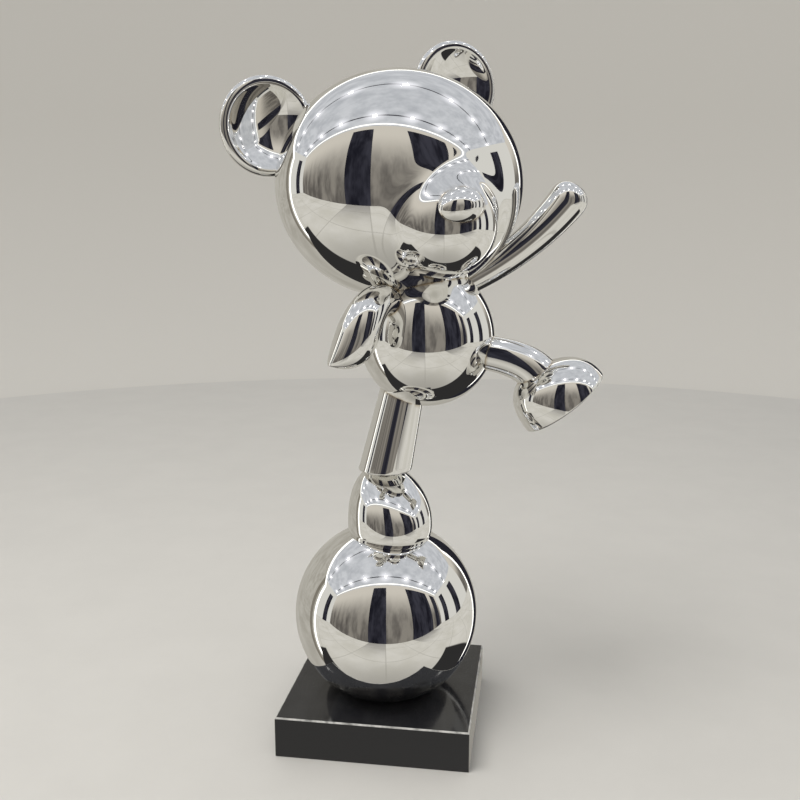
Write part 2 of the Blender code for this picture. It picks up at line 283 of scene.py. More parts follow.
def sized(shares):
    """A point or a set of radii in metres, from shares of the bear's height."""
    return Vector(shares) * sizes().bear_height


def new_object(name, bm):
    bmesh.ops.recalc_face_normals(bm, faces=bm.faces)
    mesh = bpy.data.meshes.new(name)
    bm.to_mesh(mesh)
    bm.free()
    made = bpy.data.objects.new(name, mesh)
    bpy.context.scene.collection.objects.link(made)
    return made


def spun(name, profile, sides, axis):
    """A closed solid of revolution about an axis through the origin, from points (out, along)."""
    bm = bmesh.new()
    across = Vector((1, 0, 0))
    verts = [bm.verts.new(across * out + Vector(axis) * along) for out, along in profile]
    edges = [bm.edges.new(pair) for pair in zip(verts, verts[1:])]
    bmesh.ops.spin(bm, geom=verts + edges, cent=(0, 0, 0), axis=axis, angle=math.tau, steps=sides,
                   use_merge=True)
    bmesh.ops.remove_doubles(bm, verts=bm.verts, dist=1e-6)
    return new_object(name, bm)


def arc(centre, radius, start, end, steps):
    """Points along a circle's arc, both ends included."""
    angles = [start + (end - start) * step / steps for step in range(steps + 1)]
    return [(centre[0] + radius * math.cos(a), centre[1] + radius * math.sin(a)) for a in angles]


def ellipsoid_depth(points, centre, radii):
    """Signed distance to an ellipsoid, exact on its surface and negative inside."""
    scaled = (points - np.array(centre)) / np.array(radii)
    nearness = np.linalg.norm(scaled, axis=1)
    slope = np.linalg.norm(scaled / np.array(radii), axis=1)
    return nearness * (nearness - 1) / np.maximum(slope, 1e-9)


def blended(one, other, width):
    """The nearer of two distances, with a smooth fillet of the given width where they meet."""
    overlap = np.maximum(width - np.abs(one - other), 0) / width
    return np.minimum(one, other) - overlap ** 3 * width / 6


def head_depth(points):
    """Signed distance to the skull blended into the muzzle, in the head's own axes."""
    upright = np.array(Matrix.Rotation(SKULL_LEAN, 3, "Y"))
    skull = ellipsoid_depth(points @ upright, (0, 0, 0), sized(SKULL_RADII))
    muzzle = ellipsoid_depth(points, sized(MUZZLE_CENTRE), sized(MUZZLE_RADII))
    return blended(skull, muzzle, MUZZLE_BLEND * sizes().bear_height)


def reach_to_surface(directions, depth):
    """How far each direction runs from the origin before it leaves the form."""
    inside = np.zeros(len(directions))
    outside = np.full(len(directions), sizes().bear_height)
    for _ in range(40):
        middle = (inside + outside) / 2
        within = depth(directions * middle[:, None]) < 0
        inside = np.where(within, middle, inside)
        outside = np.where(within, outside, middle)
    return inside


def bear_axes():
    """The bear stands on the top of the ball, turned from facing -Y."""
    return Matrix.Translation((0, 0, BALL_HIGH.z)) @ Matrix.Rotation(sizes().bear_turn, 4, "Z")


def head_axes():
    turn = Matrix.Rotation(HEAD_TURN, 4, "Z") @ Matrix.Rotation(HEAD_TILT, 4, "Y")
    return bear_axes() @ Matrix.Translation(sized(HEAD_CENTRE)) @ turn


def make_head():
    """Skull and muzzle: a sphere with its pole at the nose, each point pushed out to the form."""
    bm = bmesh.new()
    segments, rings = HEAD_FACETS
    bmesh.ops.create_uvsphere(bm, u_segments=segments, v_segments=rings, radius=1)
    pole = Vector(NOSE_CENTRE).normalized().to_track_quat("Z", "X").to_matrix()
    bmesh.ops.rotate(bm, cent=(0, 0, 0), matrix=pole, verts=bm.verts)
    directions = np.array([vert.co.normalized() for vert in bm.verts])
    for vert, direction, reach in zip(bm.verts, directions, reach_to_surface(directions, head_depth)):
        vert.co = Vector(direction) * reach
    bmesh.ops.transform(bm, matrix=head_axes(), verts=bm.verts)
    return new_object("head", bm)


def make_nose():
    bm = bmesh.new()
    bmesh.ops.create_uvsphere(bm, u_segments=NOSE_FACETS[0], v_segments=NOSE_FACETS[1], radius=1)
    place = Matrix.Translation(sized(NOSE_CENTRE)) @ Matrix.Diagonal((*sized(NOSE_RADII), 1))
    bmesh.ops.transform(bm, matrix=head_axes() @ place, verts=bm.verts)
    return new_object("nose", bm)


def make_dimple(side):
    """Cutter for the shallow round dimple beside the muzzle."""
    direction = Vector((DIMPLE_DIRECTION[0] * side, *DIMPLE_DIRECTION[1:])).normalized()
    reach = reach_to_surface(np.array([direction]), head_depth)[0]
    radius = DIMPLE_RADIUS * sizes().bear_height
    centre = direction * (reach + radius - DIMPLE_DEPTH * sizes().bear_height)
    bm = bmesh.new()
    bmesh.ops.create_uvsphere(bm, u_segments=DIMPLE_FACETS[0], v_segments=DIMPLE_FACETS[1], radius=radius)
    bmesh.ops.transform(bm, matrix=head_axes() @ Matrix.Translation(centre), verts=bm.verts)
    return new_object(f"dimple_{'left' if side > 0 else 'right'}", bm)


def ear_profile():
    """Points (out, back) from the middle of the dish round the rim to the middle of the back."""
    height = sizes().bear_height
    shares = (EAR_RADIUS, EAR_RIM, EAR_DISH_DEPTH, EAR_BACK_DEPTH)
    radius, rim, dish, back = (share * height for share in shares)
    rim_out = radius - rim
    dish_radius = (rim_out ** 2 + dish ** 2 - rim ** 2) / (2 * (dish + rim))
    back_radius = (rim_out ** 2 + back ** 2 - rim ** 2) / (2 * (back - rim))
    dish_edge = math.atan2(dish_radius - dish, rim_out)
    back_edge = math.atan2(back_radius - back, rim_out)
    front = arc((0, dish - dish_radius), dish_radius, math.pi / 2, dish_edge, 22)
    round_rim = arc((rim_out, 0), rim, dish_edge - math.pi, back_edge, 28)
    behind = arc((0, back - back_radius), back_radius, back_edge, math.pi / 2, 22)
    return front[:-1] + round_rim + behind[1:]


def make_ear(side):
    ear = spun(f"ear_{'left' if side > 0 else 'right'}", ear_profile(), EAR_SIDES, (0, 1, 0))
    centre = sized((EAR_CENTRE[0] * side, *EAR_CENTRE[1:]))
    ear.data.transform(head_axes() @ Matrix.Translation(centre))
    return ear


def make_torso():
    """Egg shaped body, a little narrower towards the neck."""
    bm = bmesh.new()
    bmesh.ops.create_uvsphere(bm, u_segments=TORSO_FACETS[0], v_segments=TORSO_FACETS[1], radius=1)
    for vert in bm.verts:
        narrowing = 1 - TORSO_TAPER * vert.co.z
        vert.co.x *= narrowing
        vert.co.y *= narrowing
    place = Matrix.Translation(sized(TORSO_CENTRE)) @ Matrix.Rotation(TORSO_TILT, 4, "Y")
    place = bear_axes() @ place @ Matrix.Diagonal((*sized(TORSO_RADII), 1))
    bmesh.ops.transform(bm, matrix=place, verts=bm.verts)
    return new_object("bear_casting", bm)


def curve_point(steer, t):
    """Point and direction on the curve that three points steer, in metres."""
    start, middle, end = (sized(point) for point in steer)
    point = start * (1 - t) ** 2 + middle * 2 * t * (1 - t) + end * t ** 2
    direction = (middle - start) * (1 - t) + (end - middle) * t
    return point, direction.normalized()


def ring_place(point, direction, half_width, half_depth):
    """Placement of a unit circle as an oval ring square to a direction."""
    across = Vector((0, 1, 0)).cross(direction).normalized()
    other = direction.cross(across)
    turn = Matrix((across, other, direction)).transposed().to_4x4()
    return Matrix.Translation(point) @ turn @ Matrix.Diagonal((half_width, half_depth, 1, 1))


def skinned(name, places, sides, tip=None):
    """Closed tube through rings, each a placed unit circle. It ends flat, or in a tip."""
    bm = bmesh.new()
    ring = bmesh.ops.create_circle(bm, cap_ends=True, radius=1, segments=sides)["verts"]
    loop = list(bm.edges)
    bmesh.ops.transform(bm, matrix=places[0], verts=ring)
    for before, place in zip(places, places[1:]):
        grown = bmesh.ops.extrude_edge_only(bm, edges=loop)["geom"]
        ring = [part for part in grown if isinstance(part, bmesh.types.BMVert)]
        ends = set(ring)
        edges = [part for part in grown if isinstance(part, bmesh.types.BMEdge)]
        loop = [edge for edge in edges if ends.issuperset(edge.verts)]
        bmesh.ops.transform(bm, matrix=place @ before.inverted(), verts=ring)
    if tip is None:
        bmesh.ops.contextual_create(bm, geom=loop)
    else:
        bmesh.ops.pointmerge(bm, verts=ring, merge_co=tip)
    return new_object(name, bm)


def make_arm(name, steer, hand, cap, tip_shift):
    """Arm that swells from the shoulder to a rounded hand, whose tip may lie off to one side."""
    height = sizes().bear_height
    shoulder, hand, cap, tip_shift = (share * height for share in (SHOULDER_RADIUS, hand, cap, tip_shift))
    places = []
    lengths, caps = 56, 24
    for step in range(lengths + 1):
        t = step / lengths
        point, direction = curve_point(steer, t)
        radius = shoulder + (hand - shoulder) * t
        places.append(ring_place(point, direction, radius, radius))
    aside = Vector((0, 1, 0)).cross(direction).normalized() * tip_shift
    for step in range(1, caps + 1):
        slant = math.pi / 2 * step / caps
        ahead = math.sin(slant) ** (2 / HAND_SQUARENESS)
        shrink = max(math.cos(slant), 0.001) ** (2 / HAND_SQUARENESS)
        centre = point + direction * cap * ahead + aside * (1 - shrink)
        places.append(ring_place(centre, direction, hand * shrink, hand * shrink))
    arm = skinned(name, places, LIMB_SIDES, tip=point + direction * cap + aside)
    arm.data.transform(bear_axes())
    return arm


def rounded_end(point, direction, radius, edge):
    """Rings that round a limb over its last stretch before its flat end."""
    steps = 6
    slants = [math.pi / 2 * step / steps for step in range(steps + 1)]
    return [ring_place(point - direction * edge * (1 - math.sin(a)), direction,
                       radius - edge * (1 - math.cos(a)), radius - edge * (1 - math.cos(a))) for a in slants]


def make_standing_leg():
    """Straight leaning leg, cut off level where it stands on the foot."""
    down = Vector((0, 0, -1))
    height, edge = sizes().bear_height, ANKLE_EDGE * sizes().bear_height
    top, bottom = sized(STANDING_HIP), sized(STANDING_ANKLE)
    places = []
    lengths = 40
    stop = 1 - edge / (top.z - bottom.z)
    for step in range(lengths):
        t = stop * step / lengths
        radius = (STANDING_HIP_RADIUS + (STANDING_ANKLE_RADIUS - STANDING_HIP_RADIUS) * t) * height
        places.append(ring_place(top.lerp(bottom, t), down, radius, radius))
    places += rounded_end(bottom, down, STANDING_ANKLE_RADIUS * height, edge)
    leg = skinned("standing_leg", places, LIMB_SIDES)
    leg.data.transform(bear_axes())
    return leg


def make_kicking_leg():
    height, edge = sizes().bear_height, ANKLE_EDGE * sizes().bear_height
    places = []
    lengths = 48
    for step in range(lengths - 1):
        t = step / lengths
        radius = (KICKING_HIP_RADIUS + (KICKING_ANKLE_RADIUS - KICKING_HIP_RADIUS) * t) * height
        places.append(ring_place(*curve_point(KICKING_LEG, t), radius, radius))
    places += rounded_end(*curve_point(KICKING_LEG, 1), KICKING_ANKLE_RADIUS * height, edge)
    leg = skinned("kicking_leg", places, LIMB_SIDES)
    leg.data.transform(bear_axes())
    return leg


def make_foot(name, crown, wall, inset, heel_lift):
    """Foot, toe at -Y: a sole at z = 0, a side that rounds out of it, and a crown, higher at the heel."""
    length, width, crown = sized((FOOT_HALF_LENGTH, FOOT_HALF_WIDTH, crown))
    rounding = 12
    slants = [math.pi / 2 * step / rounding for step in range(rounding + 1)]
    rings = [(1 - inset * (1 - math.sin(a)), wall * (1 - math.cos(a))) for a in slants]
    crown_steps = 44
    for step in range(1, crown_steps + 1):
        slant = math.pi / 2 * step / crown_steps
        shrink = max(math.cos(slant), 0.001) ** (2 / FOOT_SQUARENESS)
        rings.append((shrink, wall + crown * math.sin(slant) ** (2 / FOOT_SQUARENESS)))
    places = [Matrix.Translation((0, 0, height)) @ Matrix.Diagonal((width * size, length * size, 1, 1))
              for size, height in rings]
    foot = skinned(name, places, FOOT_SIDES, tip=(0, 0, rings[-1][1]))
    for vert in foot.data.vertices:
        above = max(vert.co.z - wall, 0) / crown
        vert.co.z += heel_lift * vert.co.y * above
    return foot


def make_standing_foot():
    """The foot runs down into the ball's place, and the ball's sphere is cut from it."""
    centre = sized(STANDING_FOOT_CENTRE)
    radius = sizes().ball_radius
    reach = (FOOT_HALF_LENGTH + max(abs(share) for share in STANDING_FOOT_CENTRE[:2])) * sizes().bear_height
    sole = radius - math.sqrt(radius ** 2 - reach ** 2)
    foot = make_foot("standing_foot", STANDING_FOOT_CROWN, sole + centre.z, STANDING_SOLE_INSET,
                     STANDING_HEEL_LIFT)
    foot.data.transform(bear_axes() @ Matrix.Translation((centre.x, centre.y, -sole)))
    seat = new_object("ball_seat", ball_sphere(radius + sizes().seat_gap))
    return settled(foot, [seat], "DIFFERENCE")


def make_kicking_foot():
    foot = make_foot("kicking_foot", KICKING_FOOT_CROWN, SOLE_EDGE * sizes().bear_height, KICKING_SOLE_INSET,
                     KICKING_HEEL_LIFT)
    turn = Matrix.Rotation(KICKING_SOLE_TURN, 4, "Z") @ Matrix.Rotation(-KICKING_SOLE_PITCH, 4, "X")
    foot.data.transform(bear_axes() @ Matrix.Translation(sized(KICKING_SOLE_CENTRE)) @ turn)
    return foot


def ball_centre():
    return Vector((0, 0, BALL_HIGH.z - sizes().ball_radius))


def ball_sphere(radius):
    """A whole sphere about the ball's centre."""
    bm = bmesh.new()
    bmesh.ops.create_uvsphere(bm, u_segments=BALL_FACETS[0], v_segments=BALL_FACETS[1], radius=radius)
    bmesh.ops.translate(bm, verts=bm.verts, vec=ball_centre())
    return bm


def settled(piece, tools, operation):
    """Combines a piece with its tools, one after another, and keeps the result as its plain mesh."""
    for tool in tools:
        step = piece.modifiers.new(tool.name, "BOOLEAN")
        step.operation = operation
        step.solver = "MANIFOLD"
        step.object = tool
    bpy.context.view_layer.update()
    depsgraph = bpy.context.evaluated_depsgraph_get()
    result = bpy.data.meshes.new_from_object(piece.evaluated_get(depsgraph))
    result.materials.clear()
    piece.modifiers.clear()
    raw = piece.data
    piece.data = result
    bpy.data.meshes.remove(raw)
    for tool in tools:
        spent = tool.data
        bpy.data.objects.remove(tool)
        bpy.data.meshes.remove(spent)
    return piece


def crisp(piece):
    """Smooth shading, with crisp edges where two forms meet."""
    piece.data.shade_smooth()
    piece.data.set_sharp_from_angle(angle=CREASE_ANGLE)
    return piece


def mark_creases(piece, reach):
    """Stores on each point how near it is to an inward crease: one in the crease, nothing past the reach."""
    bm = bmesh.new()
    bm.from_mesh(piece.data)
    spots = []
    for edge in bm.edges:
        if len(edge.link_faces) == 2 and edge.calc_face_angle_signed(0) < -CREASE_ANGLE:
            spots += [edge.verts[0].co.copy(), edge.verts[1].co.copy()]
    tree = KDTree(len(spots))
    for index, spot in enumerate(spots):
        tree.insert(spot, index)
    tree.balance()
    closeness = [max(0.0, 1 - tree.find(vert.co)[2] / reach) for vert in bm.verts]
    bm.free()
    # This closeness steers the chrome's painted crease shade.
    crease = piece.data.attributes.new("crease", "FLOAT", "POINT")
    crease.data.foreach_set("value", closeness)


def settle_on_frame(piece, node, material):
    """The piece stands in for its CAD node, which it hides, rides on the root body and takes its finish."""
    piece.data.materials.append(material)
    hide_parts(node)
    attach(piece, "root")


class Graph:
    """Short calls that add nodes to a tree and hand back their outputs."""

    def __init__(self, tree):
        self.tree = tree

    def node(self, kind, **settings):
        made = self.tree.nodes.new(kind)
        for name, value in settings.items():
            setattr(made, name, value)
        return made

    def feed(self, socket, value):
        if isinstance(value, bpy.types.NodeSocket):
            self.tree.links.new(value, socket)
        else:
            socket.default_value = value

    def calc(self, operation, *values):
        made = self.node("ShaderNodeMath", operation=operation)
        for socket, value in zip(made.inputs, values):
            self.feed(socket, value)
        return made.outputs[0]

    def both(self, first, *others):
        """One where every mask is one."""
        for other in others:
            first = self.calc("MULTIPLY", first, other)
        return first

    def within(self, value, low, high):
        """One between two limits, nothing outside them."""
        return self.both(self.calc("GREATER_THAN", value, low), self.calc("LESS_THAN", value, high))

    def smooth(self, value, low, high, to_low=0.0, to_high=1.0):
        """Eases from one value to another as the input runs between two limits."""
        made = self.node("ShaderNodeMapRange", interpolation_type="SMOOTHSTEP")
        for socket, entry in zip(made.inputs, (value, low, high, to_low, to_high)):
            self.feed(socket, entry)
        return made.outputs[0]

    def mixed(self, mask, one, other):
        """The first colour where the mask is nothing, and the second where it is one."""
        made = self.node("ShaderNodeMix", data_type="RGBA")
        self.feed(made.inputs["Factor"], mask)
        self.feed(made.inputs[6], (*one, 1) if isinstance(one, tuple) else one)
        self.feed(made.inputs[7], (*other, 1) if isinstance(other, tuple) else other)
        return made.outputs[2]

    def noise(self, scale, detail=2.0, roughness=0.5, place=None):
        made = self.node("ShaderNodeTexNoise")
        made.inputs["Scale"].default_value = scale
        made.inputs["Detail"].default_value = detail
        made.inputs["Roughness"].default_value = roughness
        self.feed(made.inputs["Vector"], self.place() if place is None else place)
        return made.outputs["Fac"]

    def place(self):
        return self.node("ShaderNodeTexCoord").outputs["Object"]


def new_group(name, inputs, outputs):
    """An empty shader node group with named number sockets."""
    tree = bpy.data.node_groups.new(name, "ShaderNodeTree")
    for label, default in inputs.items():
        socket = tree.interface.new_socket(label, in_out="INPUT", socket_type="NodeSocketFloat")
        socket.default_value = default
    for label in outputs:
        tree.interface.new_socket(label, in_out="OUTPUT", socket_type="NodeSocketFloat")
    graph = Graph(tree)
    return graph, graph.node("NodeGroupInput").outputs, graph.node("NodeGroupOutput").inputs


def haze_group():
    """Faint cloudy wipe marks and fine hairlines that a cloth leaves on a polished surface."""
    graph, given, wanted = new_group("wiped haze", {"Patch size": 0.05, "Amount": 1.0}, ("Haze",))
    position = graph.place()
    stretch = graph.node("ShaderNodeMapping")
    stretch.inputs["Rotation"].default_value = (0.5, 0.9, 0.3)
    stretch.inputs["Scale"].default_value = (1.0, 0.25, 1.6)
    graph.feed(stretch.inputs["Vector"], position)
    clouds = graph.node("ShaderNodeTexNoise")
    clouds.inputs["Detail"].default_value = 4
    clouds.inputs["Roughness"].default_value = 0.62
    graph.feed(clouds.inputs["Scale"], graph.calc("DIVIDE", 1.0, given["Patch size"]))
    graph.feed(clouds.inputs["Vector"], stretch.outputs[0])
    patches = graph.smooth(clouds.outputs["Fac"], 0.46, 0.74)
    hairs = graph.smooth(graph.noise(900, 1, 0.5, stretch.outputs[0]), 0.62, 0.72)
    haze = graph.calc("ADD", patches, graph.calc("MULTIPLY", hairs, 0.25))
    graph.feed(wanted["Haze"], graph.calc("MULTIPLY", haze, given["Amount"]))
    return graph.tree


def dust_group():
    """Specks and a thin film of dust on faces that look up."""
    graph, given, wanted = new_group("settled dust", {"Amount": 1.0}, ("Dust",))
    upward = graph.node("ShaderNodeSeparateXYZ")
    graph.feed(upward.inputs[0], graph.node("ShaderNodeNewGeometry").outputs["Normal"])
    facing = graph.smooth(upward.outputs["Z"], 0.35, 0.95)
    film = graph.smooth(graph.noise(26, 5, 0.65), 0.35, 0.85)
    specks = graph.smooth(graph.noise(1500, 0, 0.5), 0.74, 0.78)
    dust = graph.calc("ADD", graph.calc("MULTIPLY", film, 0.35), specks)
    graph.feed(wanted["Dust"], graph.both(dust, facing, given["Amount"]))
    return graph.tree


def use_group(graph, tree, output, **values):
    made = graph.node("ShaderNodeGroup", node_tree=tree)
    for label, value in values.items():
        graph.feed(made.inputs[label.replace("_", " ")], value)
    return made.outputs[output]


def new_material(name):
    made = bpy.data.materials.new(name)
    made.use_nodes = True
    return made, Graph(made.node_tree), made.node_tree.nodes["Principled BSDF"].inputs


def shared_group(name, maker):
    return bpy.data.node_groups.get(name) or maker()


def chrome_material():
    """Mirror plating: slow polishing waves, wiped haze, a little dust, and painted shade in the creases, where
    the plating is painted warmer and darker and made duller.
    """
    existing = bpy.data.materials.get("mirror_chrome_finish")
    if existing:
        return existing
    finish = bpy.context.scene.chrome_finish
    made, graph, shader = new_material("mirror_chrome_finish")
    haze = use_group(graph, shared_group("wiped haze", haze_group), "Haze", Patch_size=0.045, Amount=1.0)
    dust = use_group(graph, shared_group("settled dust", dust_group), "Dust", Amount=1.0)
    crease = graph.node("ShaderNodeAttribute", attribute_name="crease").outputs["Fac"]
    # Painted shade: near creases the plating's colour is darkened and warmed, and its roughness raised.
    crease_shade = graph.both(crease, crease, graph.smooth(graph.noise(120, 3, 0.6), 0.30, 0.62))
    colour = graph.mixed(graph.calc("MULTIPLY", crease_shade, 0.75), tuple(finish.tint), tuple(finish.crease_shade_colour))
    dusty = graph.mixed(graph.calc("MULTIPLY", dust, 0.10), colour, (0.55, 0.53, 0.50))
    graph.feed(shader["Base Color"], dusty)
    shader["Metallic"].default_value = 1.0
    rough = graph.calc("MULTIPLY_ADD", haze, 0.030, finish.roughness)
    rough = graph.calc("MULTIPLY_ADD", dust, 0.10, rough)
    graph.feed(shader["Roughness"], graph.calc("MULTIPLY_ADD", crease_shade, 0.22, rough))
    waves = graph.calc("ADD", graph.noise(11, 1, 0.4), graph.calc("MULTIPLY", graph.noise(45, 1, 0.4), 0.10))
    bump = graph.node("ShaderNodeBump")
    bump.inputs["Strength"].default_value = 1.0
    bump.inputs["Distance"].default_value = finish.waviness
    graph.feed(bump.inputs["Height"], waves)
    graph.feed(shader["Normal"], bump.outputs["Normal"])
    return made


def lacquer_material():
    """Black lacquer with a soft gloss, faint flow marks, wiped haze and dust."""
    finish = bpy.context.scene.lacquer_finish
    made, graph, shader = new_material("black_lacquer_finish")
    haze = use_group(graph, shared_group("wiped haze", haze_group), "Haze", Patch_size=0.07, Amount=1.0)
    dust = use_group(graph, shared_group("settled dust", dust_group), "Dust", Amount=1.0)
    graph.feed(shader["Base Color"], graph.mixed(graph.calc("MULTIPLY", dust, 0.10), tuple(finish.colour),
                                                 (0.30, 0.29, 0.27)))
    rough = graph.calc("MULTIPLY_ADD", haze, 0.10, finish.roughness)
    graph.feed(shader["Roughness"], graph.calc("MULTIPLY_ADD", dust, 0.25, rough))
    shader["IOR"].default_value = 1.5
    bump = graph.node("ShaderNodeBump")
    bump.inputs["Strength"].default_value = 1.0
    bump.inputs["Distance"].default_value = 0.00004
    graph.feed(bump.inputs["Height"], graph.noise(170, 2, 0.5))
    graph.feed(shader["Normal"], bump.outputs["Normal"])
    return made


def chamfer_highlight_material():
    """Painted highlight on the top chamfers: a pale colour, broken into patches by noise, that stands in for
    the light they catch.
    """
    finish = bpy.context.scene.lacquer_finish
    made, graph, shader = new_material("chamfer_painted_highlight")
    highlight_patches = graph.smooth(graph.noise(70, 4, 0.65), 0.30, 0.62)
    graph.feed(shader["Base Color"], graph.mixed(highlight_patches, (0.16, 0.16, 0.155), tuple(finish.chamfer_highlight)))
    shader["Metallic"].default_value = 0.0
    graph.feed(shader["Roughness"], graph.smooth(graph.noise(240, 2, 0.5), 0.2, 0.8, 0.28, 0.45))
    return made


class SCULPTURE_OT_add_plinth(Operator):
    """Square lacquered block with a painted highlight on the chamfers along its top edges"""

    bl_idname = "sculpture.add_plinth"
    bl_label = "Add plinth"

    def execute(self, context):
        size = sizes()
        bm = bmesh.new()
        bmesh.ops.create_cube(bm, size=1)
        place = Matrix.Translation((0, 0, PLINTH_LOW.z + size.plinth_height / 2))
        scale = Matrix.Diagonal((size.plinth_side, size.plinth_side, size.plinth_height, 1))
        bmesh.ops.transform(bm, matrix=place @ scale, verts=bm.verts)
        half = size.plinth_height / 2
        upper = [edge for edge in bm.edges if all(vert.co.z > half for vert in edge.verts)]
        others = [edge for edge in bm.edges if edge not in set(upper)]
        bright = bmesh.ops.bevel(bm, geom=upper, offset=size.plinth_chamfer, offset_type="OFFSET",
                                 affect="EDGES", segments=1, profile=0.5, material=-1)["faces"]
        # The top chamfer faces take the second material, a painted highlight.
        for face in bright:
            face.material_index = 1
        others = [edge for edge in others if edge.is_valid]
        bmesh.ops.bevel(bm, geom=others, offset=size.plinth_chamfer / 2, offset_type="OFFSET", affect="EDGES",
                        segments=3, profile=0.5, material=-1)
        plinth = new_object("plinth_block", bm)
        settle_on_frame(plinth, "plinth", lacquer_material())
        plinth.data.materials.append(chamfer_highlight_material())
        return {"FINISHED"}


class SCULPTURE_OT_add_ball(Operator):
    """Mirror ball with a small flat on its underside where it sits on the plinth"""

    bl_idname = "sculpture.add_ball"
    bl_label = "Add ball"

    def execute(self, context):
        bm = ball_sphere(sizes().ball_radius)
        everything = bm.verts[:] + bm.edges[:] + bm.faces[:]
        cut = bmesh.ops.bisect_plane(bm, geom=everything, plane_co=(0, 0, BALL_LOW.z), plane_no=(0, 0, -1),
                                     clear_outer=True)["geom_cut"]
        rim = [part for part in cut if isinstance(part, bmesh.types.BMEdge)]
        bmesh.ops.contextual_create(bm, geom=rim)
        ball = crisp(new_object("mirror_ball", bm))
        settle_on_frame(ball, "ball", chrome_material())
        return {"FINISHED"}


class SCULPTURE_OT_add_bear(Operator):
    """The bear's one casting, with crisp creases where its forms meet"""

    bl_idname = "sculpture.add_bear"
    bl_label = "Add bear"

    def execute(self, context):
        bear = make_torso()
        forms = [make_head(), make_nose(), make_ear(1), make_ear(-1)]
        forms.append(make_arm("raised_arm", RAISED_ARM, RAISED_HAND_RADIUS, RAISED_HAND_CAP, 0))
        forms.append(make_arm("lowered_arm", LOWERED_ARM, LOWERED_HAND_RADIUS, LOWERED_HAND_CAP,
                              LOWERED_TIP_SHIFT))
        forms += [make_standing_leg(), make_kicking_leg(), make_standing_foot(), make_kicking_foot()]
        settled(bear, forms, "UNION")
        settled(bear, [make_dimple(1), make_dimple(-1)], "DIFFERENCE")
        crisp(bear)
        mark_creases(bear, context.scene.chrome_finish.crease_reach)
        settle_on_frame(bear, "bear", chrome_material())
        return {"FINISHED"}


def add_floor(settings):
    """Round floor, and a plain backdrop that rises from a wide cove and that only the camera sees."""
    bm = bmesh.new()
    bmesh.ops.create_circle(bm, cap_ends=True, radius=settings.floor_radius, segments=96)
    floor = new_object("studio_floor", bm)
    made, graph, shader = new_material("plain_floor")
    tone = tuple(settings.floor_colour)
    speckle = graph.smooth(graph.noise(9, 4, 0.6), 0.3, 0.7)
    graph.feed(shader["Base Color"], graph.mixed(speckle, tone, tuple(channel * 0.97 for channel in tone)))
    shader["Roughness"].default_value = 0.55
    shader["Specular IOR Level"].default_value = 0.3
    floor.data.materials.append(made)
    cove = 0.9
    inner = settings.floor_radius - cove / 2
    profile = arc((inner, cove), cove, -math.pi / 2, 0, 24) + [(inner + cove, settings.wall_height)]
    bm = bmesh.new()
    verts = [bm.verts.new((out, 0, up)) for out, up in profile]
    edges = [bm.edges.new(pair) for pair in zip(verts, verts[1:])]
    bmesh.ops.spin(bm, geom=verts + edges, cent=(0, 0, 0), axis=(0, 0, 1), angle=math.tau, steps=96,
                   use_merge=True)
    wall = new_object("studio_backdrop", bm)
    wall.data.shade_smooth()
    made, graph, shader = new_material("plain_backdrop")
    shader["Base Color"].default_value = (*settings.wall_colour, 1)
    shader["Roughness"].default_value = 0.9
    wall.data.materials.append(made)
    floor.visible_glossy = False
    wall.visible_glossy = False
    wall.visible_diffuse = False
    wall.visible_shadow = False


